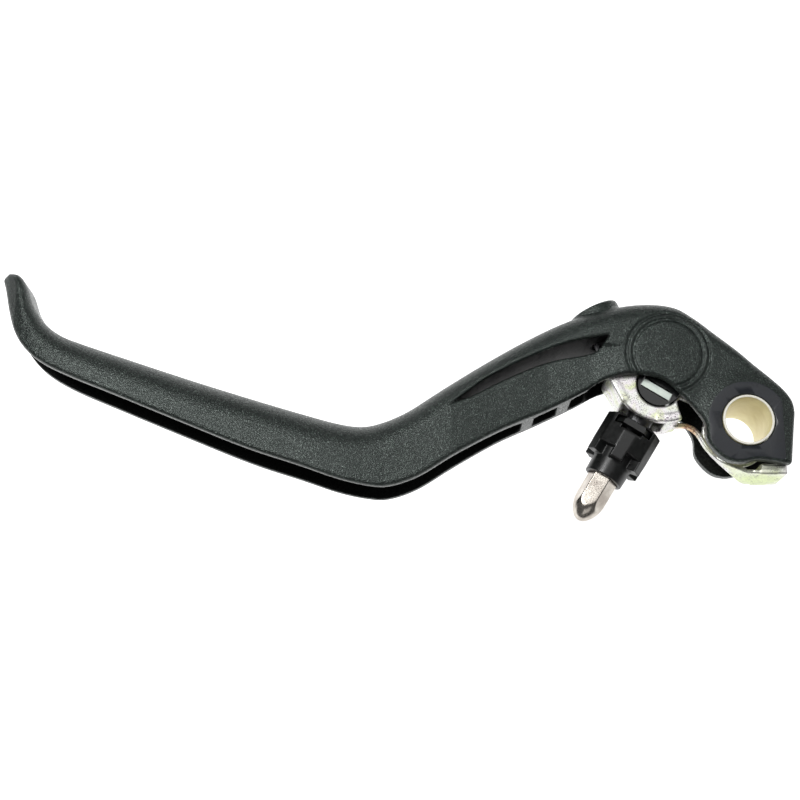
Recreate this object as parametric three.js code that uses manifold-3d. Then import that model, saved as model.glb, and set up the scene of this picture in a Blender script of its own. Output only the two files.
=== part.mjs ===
// Brake lever blade with its reach screw, rocker, contact-point knob and pushrod.
// Millimetres. Origin on the pivot axis in the mid-plane; +Z along the pivot axis, +X from the
// blade's tip towards the pivot, +Y towards the side that the fingers pull.
import * as THREE from 'three';
import { mergeVertices } from 'three/addons/utils/BufferGeometryUtils.js';
import Module from 'manifold-3d';

const wasm = await Module();
wasm.setup();

// ---- driving dimensions -------------------------------------------------------------------
const EAR_HALF = 7.0; // half the width over the two pivot ears
const CAVITY_HALF = 4.7; // half the gap between the ears and the side walls
const GAP = 0.3; // clearance between neighbouring pieces
const PIN_RADIUS = 4.0; // the 8 mm pivot pin that the bush takes
const BUSH_RADIUS = 4.5;
const BUSH_HALF = 7.2;

const BOSS_TOP = [-25.2, 21.9]; // centre of the screw boss's rim
const BOSS_ANGLE = -66; // direction of the reach screw, degrees from +X
const BOSS_RADIUS = 4.6;
const SCREW_RADIUS = 2.5; // M5
const LOCK_RING = { inner: 2.75, outer: 3.3, from: 4.5, to: 5.7 };
const SCREW_START = 1.6;
const SCREW_END = 9.9;
const PAD_END = 11.7;
const TAB_START = 12.0;

const SHEET = 1.2; // thickness of the rocker's steel
const ROCKER_HALF = 4.4;
const TRUNNION = [-14.5, 7.1]; // centre of the rocker's eyes
const TRUNNION_RADIUS = 3.75;
const TRUNNION_HALF = 4.15;
const EYE_RADIUS = 4.05;
const ROD_ANGLE = -122; // direction of the pushrod, degrees from +X

const SHANK_RADIUS = 1.5; // M3 shank of the pushrod
const HEX = 4.8; // across the flats of the pushrod
const ROD_FLAT_ANGLE = 38; // direction of one of its flats, from the blade's plane, in degrees
const KNOB = { top: 7.65, panelTop: 8.0, ribTop: 10.2, panelEnd: 13.8, ribEnd: 15.7, skirtEnd: 18.8 };
const KNOB_RADIUS = 5.4;
const PANEL_RADIUS = 5.0;
const SKIRT_RADIUS = 3.55;
// The pushrod's end: radius and distance from the trunnion where the corners start to round off, on
// to the tip.
const ROD_END = [
  [2.79, 23.2], [2.66, 24.0], [2.4, 24.9], [2.0, 25.8], [1.3, 26.8], [0.65, 27.25], [0, 27.4],
];
const ROD_TIP = ROD_END[ROD_END.length - 1][1];

// ---- solids -------------------------------------------------------------------------------
function solid(geometry) {
  const bare = geometry.clone();
  bare.deleteAttribute('normal');
  bare.deleteAttribute('uv');
  const merged = mergeVertices(bare, 1e-4);
  return new wasm.Manifold(new wasm.Mesh({
    numProp: 3,
    vertProperties: new Float32Array(merged.attributes.position.array),
    triVerts: new Uint32Array(merged.index.array),
  }));
}

function geometryOf(manifold) {
  const mesh = manifold.getMesh();
  const geometry = new THREE.BufferGeometry();
  geometry.setAttribute('position', new THREE.BufferAttribute(mesh.vertProperties, 3));
  geometry.setIndex(new THREE.BufferAttribute(mesh.triVerts, 1));
  geometry.computeVertexNormals();
  return geometry;
}

const join = (first, ...others) => others.reduce((whole, one) => whole.add(one), first);
const cut = (first, ...others) => others.reduce((whole, one) => whole.subtract(one), first);

// A prism from z = low to z = high over an outline in X and Y.
function prism(outline, low, high) {
  const points = outline instanceof THREE.Shape ? null : outline.map(([x, y]) => new THREE.Vector2(x, y));
  const shape = points ? new THREE.Shape(points) : outline;
  const geometry = new THREE.ExtrudeGeometry(shape, {
    depth: high - low, bevelEnabled: false, curveSegments: 10,
  });
  return solid(geometry.translate(0, 0, low));
}

// A body of revolution about the local Z axis: profile is [radius, height] and closes on itself.
function revolved(profile, segments = 28) {
  const points = [...profile, profile[0]].map(([radius, height]) => new THREE.Vector2(radius, height));
  return solid(new THREE.LatheGeometry(points, segments).rotateX(Math.PI / 2));
}

function disc(radius, low, high, segments = 28) {
  const geometry = new THREE.CylinderGeometry(radius, radius, high - low, segments);
  return solid(geometry.rotateX(Math.PI / 2).translate(0, 0, (low + high) / 2));
}

const ring = (inner, outer, low, high, segments = 28) => revolved(
  [[inner, low], [outer, low], [outer, high], [inner, high]], segments,
);

// A frame in the mid-plane: local Z along the angle, local Y along the pivot axis.
function frameAt([x, y], degrees) {
  const angle = THREE.MathUtils.degToRad(degrees);
  const along = new THREE.Vector3(Math.cos(angle), Math.sin(angle), 0);
  const up = new THREE.Vector3(0, 0, 1);
  const across = new THREE.Vector3().crossVectors(up, along);
  return new THREE.Matrix4().makeBasis(across, up, along).setPosition(x, y, 0);
}

const screwFrame = frameAt(BOSS_TOP, BOSS_ANGLE);
const rodFrame = frameAt(TRUNNION, ROD_ANGLE);
const placed = (manifold, matrix) => solid(geometryOf(manifold).applyMatrix4(matrix));

function material(color, roughness, metalness) {
  return new THREE.MeshStandardMaterial({ color, roughness, metalness });
}

const materials = {
  coat: material(0x26292c, 0.55, 0.3),
  cream: material(0xe1d7a0, 0.5, 0.0),
  zinc: material(0xc9cbbd, 0.35, 0.9),
  steel: material(0xbeb4a5, 0.3, 1.0),
  blackPlastic: material(0x1c2022, 0.4, 0.0),
  darkSteel: material(0x35373a, 0.4, 0.9),
  nylon: material(0xd8d4c4, 0.5, 0.0),
  rubber: material(0x151515, 0.85, 0.0),
};

const assembly = new THREE.Group();

function piece(name, manifold, finish, parent = assembly) {
  const mesh = new THREE.Mesh(geometryOf(manifold), materials[finish].clone());
  mesh.name = name;
  parent.add(mesh);
}

function framedGroup(matrix) {
  const group = new THREE.Group();
  group.applyMatrix4(matrix);
  assembly.add(group);
  return group;
}

// ---- blade ----------------------------------------------------------------------------------
// Sections from the tip to the pivot end: a point on the top rail, the matching point on the
// lower edge, half the width, and the radius that rounds the top rail.
const bladeSections = [
  { top: [-130.8, 28.5], bottom: [-131.5, 27.4], half: 2.4, round: 0.9 },
  { top: [-129.0, 27.9], bottom: [-131.1, 24.8], half: 3.6, round: 1.6 },
  { top: [-126.9, 25.6], bottom: [-130.2, 21.0], half: 4.6, round: 2.4 },
  { top: [-124.9, 21.9], bottom: [-128.9, 17.6], half: 5.3, round: 3.2 },
  { top: [-122.6, 18.6], bottom: [-126.6, 14.4], half: 5.9, round: 3.8 },
  { top: [-119.6, 16.4], bottom: [-123.0, 11.2], half: 6.4, round: 4.4 },
  { top: [-115.5, 14.8], bottom: [-118.0, 8.5], half: 6.9, round: 5.0 },
  { top: [-106.6, 11.8], bottom: [-109.0, 4.7], half: 7.2, round: 5.6 },
  { top: [-96.0, 8.3], bottom: [-98.0, 0.1], half: 7.2, round: 6.0 },
  { top: [-85.0, 4.8], bottom: [-86.5, -4.6], half: 7.2, round: 6.0 },
  { top: [-76.0, 2.1], bottom: [-77.0, -7.8], half: 7.1, round: 6.0 },
  { top: [-70.5, 0.6], bottom: [-71.0, -9.9], half: 6.9, round: 5.8 },
  { top: [-66.5, 0.1], bottom: [-66.0, -11.1], half: 6.6, round: 5.6 },
  { top: [-63.0, 0.8], bottom: [-61.8, -11.3], half: 6.4, round: 5.4 },
  { top: [-58.5, 2.8], bottom: [-56.6, -9.5], half: 6.3, round: 5.2 },
  { top: [-52.5, 6.7], bottom: [-50.3, -5.6], half: 6.3, round: 5.0 },
  { top: [-45.5, 11.1], bottom: [-42.5, -1.3], half: 6.2, round: 4.8 },
  { top: [-38.0, 15.4], bottom: [-34.8, 2.1], half: 6.2, round: 4.6 },
  { top: [-30.5, 19.0], bottom: [-28.5, 5.2], half: 6.4, round: 4.4 },
  { top: [-23.5, 21.2], bottom: [-24.0, 7.7], half: 6.8, round: 4.2 },
  { top: [-17.0, 22.1], bottom: [-19.5, 8.6], half: EAR_HALF, round: 4.0 },
  { top: [-11.5, 21.5], bottom: [-14.3, 7.7], half: EAR_HALF, round: 3.6 },
  { top: [-8.0, 19.4], bottom: [-10.5, 4.2], half: EAR_HALF, round: 3.0 },
  { top: [-4.5, 16.4], bottom: [-7.5, 0.0], half: EAR_HALF, round: 2.4 },
  { top: [-1.0, 13.4], bottom: [-7.1, -3.6], half: EAR_HALF, round: 2.0 },
  { top: [1.8, 10.8], bottom: [-4.6, -6.6], half: EAR_HALF, round: 2.0 },
  { top: [4.4, 8.1], bottom: [-1.8, -7.4], half: EAR_HALF, round: 1.4 },
  { top: [6.7, 5.6], bottom: [1.4, -6.9], half: EAR_HALF, round: 1.1 },
  { top: [8.0, 3.5], bottom: [5.2, -7.4], half: EAR_HALF, round: 1.0 },
  { top: [8.3, 1.6], bottom: [7.1, -7.7], half: EAR_HALF, round: 0.9 },
];

const LOWER_EDGE = 0.6; // radius of the blade's lower edges
const BLADE_STEPS = 52;
const EAR_SHARE = 0.69; // how far along the sections the ears' flat faces start

// The closed section polygon, as [distance below the top point, sideways] pairs.
function sectionPoints({ half, round }) {
  const side = [[0, half - round]];
  for (const degrees of [30, 60, 90]) {
    const angle = THREE.MathUtils.degToRad(degrees);
    side.push([round * (1 - Math.cos(angle)), half - round + round * Math.sin(angle)]);
  }
  return side;
}

function bladeLoft() {
  const closed = false;
  const curve = (key) => new THREE.CatmullRomCurve3(
    bladeSections.map((one) => new THREE.Vector3(...one[key], 0)), closed, 'catmullrom', 0.5,
  );
  const sizes = new THREE.CatmullRomCurve3(
    bladeSections.map((one) => new THREE.Vector3(one.half, one.round, 0)), closed, 'catmullrom', 0.5,
  );
  const tops = curve('top');
  const bottoms = curve('bottom');
  const positions = [];
  for (let step = 0; step <= BLADE_STEPS; step += 1) {
    const t = step / BLADE_STEPS;
    const top = tops.getPoint(t);
    const bottom = bottoms.getPoint(t);
    const size = sizes.getPoint(t);
    const down = bottom.clone().sub(top);
    const depth = down.length();
    down.normalize();
    const half = t > EAR_SHARE ? Math.min(size.x, EAR_HALF) : size.x;
    const side = sectionPoints({ half, round: Math.min(size.y, depth * 0.45) });
    side.push([depth - LOWER_EDGE, half], [depth, half - LOWER_EDGE]);
    const loop = [...side, ...side.map(([below, out]) => [below, -out]).reverse()];
    for (const [below, out] of loop) {
      positions.push(top.x + down.x * below, top.y + down.y * below, out);
    }
  }
  const count = positions.length / 3 / (BLADE_STEPS + 1);
  const index = [];
  for (let step = 0; step < BLADE_STEPS; step += 1) {
    for (let i = 0; i < count; i += 1) {
      const a = step * count + i;
      const b = step * count + ((i + 1) % count);
      index.push(a, b, a + count, b, b + count, a + count);
    }
  }
  const last = BLADE_STEPS * count;
  for (let i = 1; i < count - 1; i += 1) {
    index.push(0, i + 1, i, last, last + i, last + i + 1);
  }
  const geometry = new THREE.BufferGeometry();
  geometry.setAttribute('position', new THREE.Float32BufferAttribute(positions, 3));
  geometry.setIndex(index);
  return solid(geometry);
}

// A prism over an outline whose half width changes along X, given as [x, half] pairs.
function taperedPrism(outline, halves) {
  const shape = new THREE.Shape(outline.map(([x, y]) => new THREE.Vector2(x, y)));
  const geometry = new THREE.ExtrudeGeometry(shape, { depth: 2, bevelEnabled: false });
  const position = geometry.translate(0, 0, -1).attributes.position;
  for (let i = 0; i < position.count; i += 1) {
    const x = position.getX(i);
    const next = Math.max(1, halves.findIndex(([at]) => at >= x));
    const [x0, half0] = halves[next - 1];
    const [x1, half1] = halves[next];
    const half = THREE.MathUtils.mapLinear(THREE.MathUtils.clamp(x, x0, x1), x0, x1, half0, half1);
    position.setZ(i, position.getZ(i) * half);
  }
  return solid(geometry);
}

// The long pocket under the finger part, open below.
const fingerPocket = [
  [-128.6, 22.4], [-126.6, 18.2], [-124.2, 15.4], [-121.0, 13.3], [-117.0, 11.9], [-106.6, 8.4],
  [-89.4, 2.8], [-76.0, -1.4], [-69.0, -3.2], [-64.0, -3.0], [-58.0, -1.0], [-50.5, 1.8],
  [-44.2, 4.4], [-38.6, 6.6], [-38.6, -4.0], [-48.0, -9.0], [-58.0, -14.0], [-70.0, -14.0],
  [-90.0, -7.0], [-110.0, 1.0], [-126.0, 9.0], [-132.5, 16.0], [-131.6, 21.0],
];
const fingerPocketHalves = [
  [-133, 2.4], [-128, 3.2], [-118, 4.8], [-106, 5.2], [-72, 5.2], [-60, 4.4], [-50, 4.0], [-38, 2.6],
];
// Two short pockets between the ribs of the waist.
const waistPocket = [[-36.3, 7.2], [-32.3, 8.4], [-32.3, 0.0], [-36.3, -2.0]];
const endPocket = [[-29.8, 9.0], [-25.0, 10.0], [-25.0, 2.0], [-29.8, 1.0]];
const WAIST_POCKET_HALF = 2.7;
const END_POCKET_HALF = 3.4;

// The room for the rocker, between the two walls and the two ears.
const rockerRoom = [
  [-27.4, 0.0], [-26.8, 8.0], [-26.0, 11.0], [-23.8, 13.2], [-18.0, 15.6], [-13.0, 15.6], [-7.5, 13.4],
  [-2.5, 9.4], [2.5, 8.0], [6.0, 4.6], [9.0, 2.6], [12.0, -12.0], [-12.0, -12.0],
];

// The lightening slot under the top rail, through both walls.
const railSlot = [
  [-50.8, 3.3], [-47.7, 5.7], [-44.2, 8.2], [-40.7, 10.1], [-37.2, 11.7], [-33.7, 13.2], [-30.2, 14.3],
  [-26.6, 15.1], [-23.2, 15.6], [-24.6, 13.6], [-26.6, 12.4], [-30.2, 11.8], [-33.7, 11.1],
  [-37.2, 9.8], [-40.7, 8.2], [-44.2, 6.4], [-47.7, 4.5],
];

// The side panels of the waist lie deeper than the rail and the ears.
const panelArea = [
  [-52.0, 2.2], [-45.0, 6.9], [-37.0, 10.7], [-30.0, 12.9], [-25.9, 13.7], [-25.4, 10.0], [-26.6, 4.0],
  [-34.0, -2.0], [-52.0, -10.0],
];
const PANEL_HALF = 4.9; // half the width over the panels where they are deepest

function panelRecess(side) {
  const wedge = [[-53.0, 6.6], [-34.0, PANEL_HALF], [-25.8, 5.1], [-24.6, 5.6], [-24.6, 9.0], [-53.0, 9.0]];
  const slab = new THREE.ExtrudeGeometry(
    new THREE.Shape(wedge.map(([x, z]) => new THREE.Vector2(x, z * side))),
    { depth: 30, bevelEnabled: false },
  );
  const above = solid(slab.rotateX(Math.PI / 2).translate(0, 20, 0));
  const area = side > 0 ? prism(panelArea, 0, 10) : prism(panelArea, -10, 0);
  return area.intersect(above);
}

// A shallow ring-shaped groove in each side, over the rocker.
const BADGE = { centre: [-13.1, 12.2], inner: 6.2, outer: 6.8, depth: 0.35 };

function badgeRing(side) {
  const centre = new THREE.Matrix4().makeTranslation(...BADGE.centre, side * EAR_HALF);
  return placed(ring(BADGE.inner, BADGE.outer, -BADGE.depth, BADGE.depth, 32), centre);
}

function bladeBody() {
  const boss = placed(disc(BOSS_RADIUS, 0, 7.4, 28), screwFrame);
  const screwBore = placed(disc(SCREW_RADIUS + GAP, -1, 12, 24), screwFrame);
  const ringGroove = placed(
    disc(LOCK_RING.outer + GAP, LOCK_RING.from - GAP, LOCK_RING.to + GAP, 24), screwFrame,
  );
  return cut(
    join(bladeLoft(), boss),
    taperedPrism(fingerPocket, fingerPocketHalves),
    prism(waistPocket, -WAIST_POCKET_HALF, WAIST_POCKET_HALF),
    prism(endPocket, -END_POCKET_HALF, END_POCKET_HALF),
    prism(rockerRoom, -CAVITY_HALF, CAVITY_HALF),
    prism(railSlot, -9, 9),
    panelRecess(1),
    panelRecess(-1),
    badgeRing(1),
    badgeRing(-1),
    screwBore,
    ringGroove,
    disc(BUSH_RADIUS + GAP, -9, 9, 32),
  );
}

piece('lever_blade', bladeBody(), 'coat');
piece('pivot_bush', ring(PIN_RADIUS, BUSH_RADIUS, -BUSH_HALF, BUSH_HALF, 32), 'cream');

// ---- reach screw, its friction ring and its thrust pad -----------------------------------------
const reachGroup = framedGroup(screwFrame);

// A hexagonal prism; the turn is the direction of one of its flats, in degrees.
function hexPrism(acrossFlats, low, high, turn = 0) {
  const radius = acrossFlats / 2 / Math.cos(Math.PI / 6);
  const geometry = new THREE.CylinderGeometry(radius, radius, high - low, 6);
  const upright = geometry.rotateX(Math.PI / 2).rotateZ(THREE.MathUtils.degToRad(turn));
  return solid(upright.translate(0, 0, (low + high) / 2));
}

const SCREW_SOCKET = { size: 2.5, depth: 2.6 };
const PAD_STEM = { radius: 0.9, length: 1.4 };
const reachScrew = cut(
  disc(SCREW_RADIUS, SCREW_START, SCREW_END, 24),
  hexPrism(SCREW_SOCKET.size, SCREW_START - 1, SCREW_START + SCREW_SOCKET.depth),
  disc(PAD_STEM.radius + GAP, SCREW_END - PAD_STEM.length - GAP, SCREW_END + 1, 16),
);
const reachPad = revolved([
  [0, SCREW_END - PAD_STEM.length],
  [PAD_STEM.radius, SCREW_END - PAD_STEM.length],
  [PAD_STEM.radius, SCREW_END + GAP],
  [2.2, SCREW_END + GAP],
  [2.2, PAD_END - 0.4],
  [1.8, PAD_END],
  [0, PAD_END],
], 20);
const lockRing = ring(LOCK_RING.inner, LOCK_RING.outer, LOCK_RING.from, LOCK_RING.to);
piece('reach_lock_ring', lockRing, 'nylon', reachGroup);
piece('reach_screw', reachScrew, 'darkSteel', reachGroup);
piece('reach_pad', reachPad, 'nylon', reachGroup);

// ---- rocker ---------------------------------------------------------------------------------------
// A stamped steel cradle: two flanges with the trunnion's eyes and the pivot's eyes, joined by the
// tab that the reach screw presses, the end web, the lower web and the neck that carries the foot.
const CRADLE = { centre: [-14.0, 8.8], radius: 8.4 };
const onCradle = (radius, degrees) => {
  const angle = THREE.MathUtils.degToRad(degrees);
  return [CRADLE.centre[0] + radius * Math.cos(angle), CRADLE.centre[1] + radius * Math.sin(angle)];
};
const inScrewFrame = (across, along) => {
  const point = new THREE.Vector3(across, 0, along).applyMatrix4(screwFrame);
  return [point.x, point.y];
};
const NECK_NOTCH_HALF = 2.9; // the lower web is notched where the neck sleeve passes
const NECK_HALF = 1.4; // half the width of the strip down to the foot
const PIVOT_EYE = { inner: BUSH_RADIUS + GAP, outer: 6.0 };

function rockerFlange(low, high) {
  const arc = [];
  for (let degrees = -69; degrees >= -147; degrees -= 13) {
    arc.push(onCradle(CRADLE.radius, degrees));
  }
  const outline = [
    ...arc, [-22.5, 6.8], [-23.5, 8.6], inScrewFrame(-3.2, TAB_START), inScrewFrame(2.0, TAB_START),
    [-15.8, 13.0], [-13.0, 13.2], [-9.0, 11.2], [-2.8, 5.3], [-5.4, 2.6], [-7.4, 5.6], [-9.6, 6.6],
    [-11.2, 5.6], [-11.6, 4.0],
  ];
  return cut(
    join(prism(outline, low, high), disc(PIVOT_EYE.outer, low, high, 36)),
    disc(PIVOT_EYE.inner, low - 1, high + 1, 32),
    disc(EYE_RADIUS, low - 1, high + 1, 32).translate(...TRUNNION, 0),
  );
}

function rockerBody() {
  const arcBand = (from, to, step) => {
    const outer = [];
    const inner = [];
    for (let degrees = from; degrees >= to; degrees -= step) {
      outer.push(onCradle(CRADLE.radius, degrees));
      inner.unshift(onCradle(CRADLE.radius - SHEET, degrees));
    }
    return [...outer, ...inner];
  };
  const tab = [
    inScrewFrame(-3.2, TAB_START), inScrewFrame(2.0, TAB_START), inScrewFrame(2.0, TAB_START + SHEET),
    inScrewFrame(-2.6, TAB_START + SHEET), [-21.3, 6.9], [-20.1, 4.4], [-21.2, 4.0], [-22.5, 6.8],
    [-23.5, 8.6],
  ];
  const neck = [
    [-11.3, 0.9], [-9.4, 0.7], [-7.9, -0.6], [-6.4, -3.0], [-3.4, -5.5], [-1.4, -6.8], [-1.9, -7.7],
    [-4.2, -6.4], [-7.3, -3.7], [-8.9, -1.2], [-9.9, -0.4], [-11.3, -0.3],
  ];
  // The neck widens into the foot, whose end is folded back on itself.
  const foot = [
    [-3.4, -5.5], [-1.4, -6.8], [0.2, -7.8], [2.1, -7.9], [2.1, -7.1], [6.7, -7.1], [6.7, -8.9],
    [0.6, -8.9], [-1.6, -7.9], [-4.2, -6.4],
  ];
  const footHalves = [[-4.2, 1.4], [-1.6, 2.4], [0.6, 3.9], [2.1, ROCKER_HALF], [6.7, ROCKER_HALF]];
  return join(
    rockerFlange(ROCKER_HALF - SHEET, ROCKER_HALF),
    rockerFlange(-ROCKER_HALF, -ROCKER_HALF + SHEET),
    prism(arcBand(-69, -87, 6), -ROCKER_HALF, ROCKER_HALF),
    prism(arcBand(-69, -99, 6), NECK_NOTCH_HALF, ROCKER_HALF),
    prism(arcBand(-69, -99, 6), -ROCKER_HALF, -NECK_NOTCH_HALF),
    prism(tab, -ROCKER_HALF, ROCKER_HALF),
    prism(neck, -NECK_HALF, NECK_HALF),
    taperedPrism(foot, footHalves),
  );
}

piece('rocker', rockerBody(), 'zinc');

// ---- trunnion with its nut and neck, knob, clip and pushrod ------------------------------------
const rodGroup = framedGroup(rodFrame);
const NUT = { half: 2.75, from: 0.35, to: 1.65 };
const NECK = { inner: 1.75, outer: 2.45, from: 2.3, to: 10.6 };
const CLIP = {
  from: 8.55, to: 9.35, groove: 2.1, bite: 2.3, top: 4.7, topHalf: 2.0, half: 3.1, end: -3.0,
};

// A prism along the pivot axis over an outline given as [across, along] pairs of the rod's frame.
function crossPrism(outline, half) {
  const shape = new THREE.Shape(outline.map(([across, along]) => new THREE.Vector2(across, -along)));
  const geometry = new THREE.ExtrudeGeometry(shape, { depth: 2 * half, bevelEnabled: false });
  return solid(geometry.rotateX(-Math.PI / 2).translate(0, -half, 0));
}

const rectangle = (half, from, to) => [[-half, from], [half, from], [half, to], [-half, to]];
const barrel = solid(new THREE.CylinderGeometry(TRUNNION_RADIUS, TRUNNION_RADIUS, 2 * TRUNNION_HALF, 32));

const trunnion = cut(
  barrel,
  crossPrism(rectangle(NUT.half + 0.25, NUT.from - 0.25, NUT.to + 0.25), TRUNNION_HALF + 1),
  disc(SHANK_RADIUS + GAP, -5, 5, 24),
  disc(NECK.outer + 0.25, NECK.from - 0.25, 5, 28),
);
const trunnionNut = cut(
  crossPrism(rectangle(NUT.half, NUT.from, NUT.to), TRUNNION_HALF - 0.1),
  disc(SHANK_RADIUS + GAP, -1, 3, 24),
);
const neckSleeve = revolved([
  [NECK.inner, NECK.from], [NECK.outer, NECK.from], [NECK.outer, CLIP.from - 0.2],
  [CLIP.groove, CLIP.from - 0.2], [CLIP.groove, CLIP.to + 0.2], [NECK.outer, CLIP.to + 0.2],
  [NECK.outer, NECK.to], [NECK.inner, NECK.to],
], 28);
piece('trunnion', trunnion, 'blackPlastic', rodGroup);
piece('trunnion_nut', trunnionNut, 'zinc', rodGroup);
piece('neck_sleeve', neckSleeve, 'darkSteel', rodGroup);

// The U clip slides into the knob from the side and runs in the neck's groove. Its outline, grown by
// a clearance, is also the room for it in the knob.
function clipOutline(grown) {
  const { top, topHalf, half, end } = CLIP;
  const shoulder = half + 0.2;
  return [
    [topHalf + grown / 2, top + grown], [half + grown, shoulder + grown], [half + grown, end - grown],
    [-half - grown, end - grown], [-half - grown, shoulder + grown], [-topHalf - grown / 2, top + grown],
  ];
}

function clipBody() {
  const { bite, end } = CLIP;
  const mouth = [[-bite, 0], [bite, 0], [bite, end - 1], [-bite, end - 1]];
  return cut(
    prism(clipOutline(0), CLIP.from, CLIP.to),
    disc(bite, CLIP.from - 1, CLIP.to + 1, 28),
    prism(mouth, CLIP.from - 1, CLIP.to + 1),
  );
}
piece('knob_clip', clipBody(), 'blackPlastic', rodGroup);

// The knob turns on the neck. Wide flat panels alternate with six narrow raised ribs.
const SIDES = 6;
const RIB_HALF_ANGLE = 12;
const FIRST_RIB_ANGLE = 30;
const RIB_FOOT = 2.9; // where a rib starts inside the knob's wall
const HUB_RADIUS = 4.7; // the round top of the knob, inside its panels
const WINDOW = { half: 1.9, floor: 3.2, end: 10.5 }; // shows the clip, and is open at the top
// The rubber ring in the knob's bore, round the corners of the hexagonal rod.
const RING = { inner: 3.05, outer: 3.85, at: 12.2, half: 0.4 };

function knobBody() {
  const twelveSided = [];
  for (let i = 0; i < SIDES; i += 1) {
    for (const offset of [-RIB_HALF_ANGLE, RIB_HALF_ANGLE]) {
      const angle = THREE.MathUtils.degToRad(FIRST_RIB_ANGLE + 360 / SIDES * i + offset);
      twelveSided.push([PANEL_RADIUS * Math.cos(angle), PANEL_RADIUS * Math.sin(angle)]);
    }
  }
  const ribs = [];
  for (let i = 0; i < SIDES; i += 1) {
    const halfWidth = KNOB_RADIUS * Math.sin(THREE.MathUtils.degToRad(RIB_HALF_ANGLE));
    const bar = prism([
      [RIB_FOOT, -halfWidth], [KNOB_RADIUS, -halfWidth], [KNOB_RADIUS, halfWidth], [RIB_FOOT, halfWidth],
    ], KNOB.ribTop, KNOB.ribEnd);
    ribs.push(bar.rotate([0, 0, FIRST_RIB_ANGLE + 360 / SIDES * i]));
  }
  const skirt = disc(SKIRT_RADIUS, KNOB.panelEnd - 1, KNOB.skirtEnd, 32);
  const clipRoom = prism(clipOutline(GAP), CLIP.from - GAP, CLIP.to + GAP);
  const { half, floor, end } = WINDOW;
  const window = prism([[-half, floor], [half, floor], [half, 6], [-half, 6]], KNOB.top - 1, end);
  const rimHub = ring(NECK.outer + GAP, HUB_RADIUS, KNOB.top, KNOB.panelEnd, 32);
  return cut(
    join(prism(twelveSided, KNOB.panelTop, KNOB.panelEnd), rimHub, skirt, ...ribs),
    clipRoom,
    window,
    disc(NECK.outer + GAP, KNOB.top - 1, NECK.to + GAP, 28),
    hexPrism(HEX + 0.5, NECK.to, KNOB.skirtEnd + 1, ROD_FLAT_ANGLE),
    disc(RING.outer + GAP, RING.at - RING.half - GAP, RING.at + RING.half + GAP, 32),
  );
}

piece('adjuster_knob', knobBody(), 'blackPlastic', rodGroup);
const rodRing = ring(RING.inner, RING.outer, RING.at - RING.half, RING.at + RING.half, 32);
piece('rod_oring', rodRing, 'rubber', rodGroup);

// The pushrod: a threaded shank, then a hexagon whose end a turned dome rounds off.
function pushrodBody() {
  const envelope = revolved([[0, 13.2], [2.3, 13.2], [2.79, 13.8], ...ROD_END], 36);
  return join(
    hexPrism(HEX, 13.0, ROD_TIP + 1, ROD_FLAT_ANGLE).intersect(envelope),
    disc(SHANK_RADIUS, -3.6, 14, 24),
  );
}
piece('pushrod', pushrodBody(), 'steel', rodGroup);

export default assembly;
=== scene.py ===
"""The brake lever blade's looks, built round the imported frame. Lengths inside are millimetres,
turned into metres when a mesh is made; the frame is the CAD model's own: origin on the pivot axis,
+Z along it, +X from the tip towards the pivot."""
import math

import bmesh
import bpy
import numpy as np
from mathutils import Matrix, Vector


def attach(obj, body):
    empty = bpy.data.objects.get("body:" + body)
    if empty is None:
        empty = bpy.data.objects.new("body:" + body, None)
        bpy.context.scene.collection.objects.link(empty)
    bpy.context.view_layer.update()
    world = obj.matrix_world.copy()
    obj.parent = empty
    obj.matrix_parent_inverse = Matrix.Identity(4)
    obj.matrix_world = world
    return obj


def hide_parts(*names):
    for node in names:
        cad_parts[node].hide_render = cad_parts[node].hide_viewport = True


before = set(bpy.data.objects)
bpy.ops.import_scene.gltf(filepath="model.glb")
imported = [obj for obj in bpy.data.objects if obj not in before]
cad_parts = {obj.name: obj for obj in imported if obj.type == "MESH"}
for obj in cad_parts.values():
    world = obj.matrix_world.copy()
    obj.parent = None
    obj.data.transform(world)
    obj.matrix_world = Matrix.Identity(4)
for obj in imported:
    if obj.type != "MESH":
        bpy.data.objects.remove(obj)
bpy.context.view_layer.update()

MM = 0.001

# ---- driving dimensions, as in the CAD model ---------------------------------------------------
EAR_HALF = 7.0
CAVITY_HALF = 4.7
PIN_RADIUS = 4.0
BUSH_RADIUS = 4.5
BUSH_HALF = 7.2
BOSS_TOP = (-25.2, 21.9)
BOSS_ANGLE = -66
BOSS_RADIUS = 4.6
SCREW_BORE = 2.8
SHEET = 1.2
ROCKER_HALF = 4.4
TRUNNION = (-14.5, 7.1)
EYE_RADIUS = 4.05
ROD_ANGLE = -122
HEX = 4.8
KNOB_RADIUS = 5.4
SKIRT_RADIUS = 3.55
# The pushrod's domed end as (radius, distance along the rod), 0.04 mm short of the CAD's tip.
ROD_END = [(2.79, 23.2), (2.66, 24.0), (2.4, 24.9), (2.0, 25.8), (1.3, 26.75), (0.65, 27.2), (0, 27.36)]


# ---- fields: negative inside, in millimetres -----------------------------------------------------
def smooth_max(a, b, reach):
    return np.maximum(a, b) + np.maximum(reach - np.abs(a - b), 0) ** 2 / (4 * reach)


def smooth_min(a, b, reach):
    return -smooth_max(-a, -b, reach)


def meet(a, b, radius):
    """Where both a and b are inside, with the edge between them rounded to the radius."""
    return np.minimum(np.maximum(a + radius, b + radius), 0) + np.hypot(
        np.maximum(a + radius, 0), np.maximum(b + radius, 0)
    ) - radius


def cut(body, tool, radius):
    """The body less the tool, with the rim of the cut rounded to the radius."""
    return meet(body, -tool, radius)


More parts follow.
